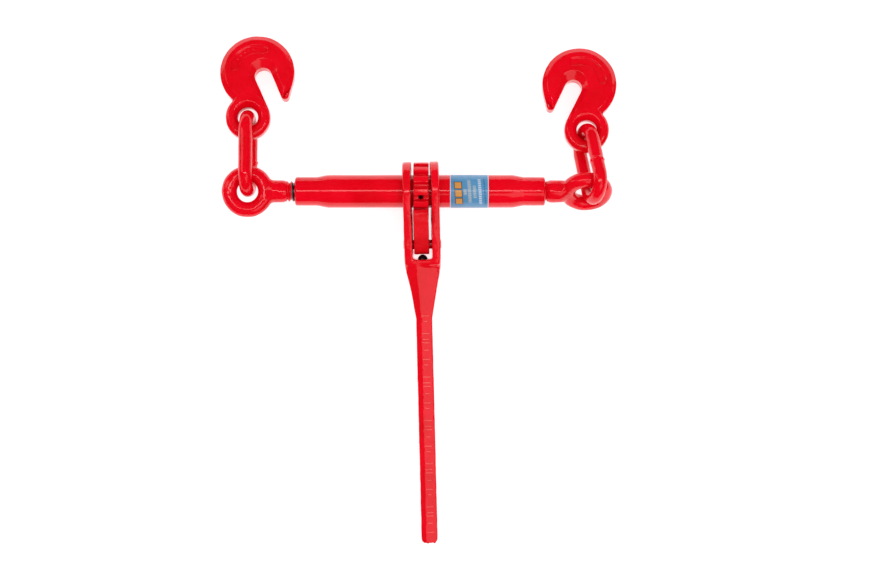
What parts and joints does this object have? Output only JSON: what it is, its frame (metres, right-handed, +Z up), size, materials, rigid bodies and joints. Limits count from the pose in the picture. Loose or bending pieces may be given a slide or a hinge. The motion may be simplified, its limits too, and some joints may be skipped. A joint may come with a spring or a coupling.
{
  "type": "ratchet chain load binder",
  "caption": "Ratchet chain load binder: a threaded barrel with a gear, turned by a forked lever with a reversing pawl, between eye bolts that carry links and grab hooks.",
  "frame": {"origin": "on the resting surface, under the middle of the whole binder's outline seen from above", "axes": "+X along the barrel towards the end whose ring is turned, +Y from the handle towards the hooks, +Z up from the resting surface"},
  "size_m": [0.4054, 0.52, 0.0676],
  "materials": {
    "red_enamel": "thick glossy enamel over forged steel",
    "label_film": "printed film",
    "pin_steel": "plain steel",
    "spring_steel": "drawn wire",
    "dark_steel": "oiled dark steel"
  },
  "bodies": {
    "barrel": {"barrel_tube": "red_enamel", "ratchet_gear": "red_enamel", "gear_pin_upper": "pin_steel", "gear_pin_lower": "pin_steel", "label": "label_film"},
    "handle": {"handle": "red_enamel", "pawl_pin": "red_enamel", "detent_spring": "spring_steel"},
    "pawl": {"pawl": "red_enamel"},
    "detent_plunger": {"detent_plunger": "dark_steel"},
    "left_stop_washer": {"left_stop_washer": "pin_steel"},
    "left_eye_bolt": {"left_eye_bolt": "red_enamel", "left_stop_pin": "pin_steel"},
    "left_link": {"left_link": "red_enamel"},
    "left_hook": {"left_hook": "red_enamel"},
    "right_stop_washer": {"right_stop_washer": "pin_steel"},
    "right_eye_bolt": {"right_eye_bolt": "red_enamel", "right_stop_pin": "pin_steel"},
    "right_link": {"right_link": "red_enamel"},
    "right_hook": {"right_hook": "red_enamel"}
  },
  "joints": [
    {"name": "handle_swing", "type": "hinge", "parent": "barrel", "child": "handle", "pos_m": [0.00182, 0.0999, 0.0321], "axis": [1, 0, 0], "range_deg": [-180, 180]},
    {"name": "pawl_flip", "type": "hinge", "parent": "handle", "child": "pawl", "pos_m": [-0.01455, 0.04557, 0.02868], "axis": [0.9997, 0.0244, 0.0015], "range_deg": [-7.5, 7.5]},
    {"name": "detent_slide", "type": "slide", "parent": "handle", "child": "detent_plunger", "axis": [0.0244, -0.9977, -0.0628], "range_m": [0, 0.003], "stiffness_N_per_m": 1500, "springref_m": -0.003, "deforming": ["detent_spring"]},
    {"name": "left_screw_slide", "type": "slide", "parent": "barrel", "child": "left_stop_washer", "axis": [-1, 0, 0], "range_m": [-0.00848, 0.06774]},
    {"name": "left_screw_turn", "type": "hinge", "parent": "left_stop_washer", "child": "left_eye_bolt", "pos_m": [-0.17388, 0.0999, 0.0321], "axis": [-1, 0, 0], "range_deg": [-720, 5760]},
    {"name": "left_link_swing", "type": "hinge", "parent": "left_eye_bolt", "child": "left_link", "pos_m": [-0.17388, 0.0999, 0.0321], "axis": [0, 0, 1], "range_deg": [-50, 230]},
    {"name": "left_hook_swing", "type": "hinge", "parent": "left_link", "child": "left_hook", "pos_m": [-0.17378, 0.1751, 0.0237], "axis": [0, -0.1637, -0.9865], "range_deg": [-115, 100]},
    {"name": "right_screw_slide", "type": "slide", "parent": "barrel", "child": "right_stop_washer", "axis": [1, 0, 0], "range_m": [0, 0.07621]},
    {"name": "right_screw_turn", "type": "hinge", "parent": "right_stop_washer", "child": "right_eye_bolt", "pos_m": [0.17092, 0.0999, 0.0321], "axis": [-1, 0, 0], "range_deg": [0, 6480]},
    {"name": "right_link_swing", "type": "hinge", "parent": "right_eye_bolt", "child": "right_link", "pos_m": [0.17092, 0.0999, 0.0321], "axis": [0, -0.8039, 0.5948], "range_deg": [-190, 70]},
    {"name": "right_hook_swing", "type": "hinge", "parent": "right_link", "child": "right_hook", "pos_m": [0.17181, 0.16232, 0.02186], "axis": [0, 0.1407, 0.99], "range_deg": [-30, 30]}
  ],
  "couplings": [
    {"joint": "left_screw_slide", "follows": "left_screw_turn", "m_per_rad": 0.00067376},
    {"joint": "right_screw_slide", "follows": "right_screw_turn", "m_per_rad": 0.00067376}
  ]
}
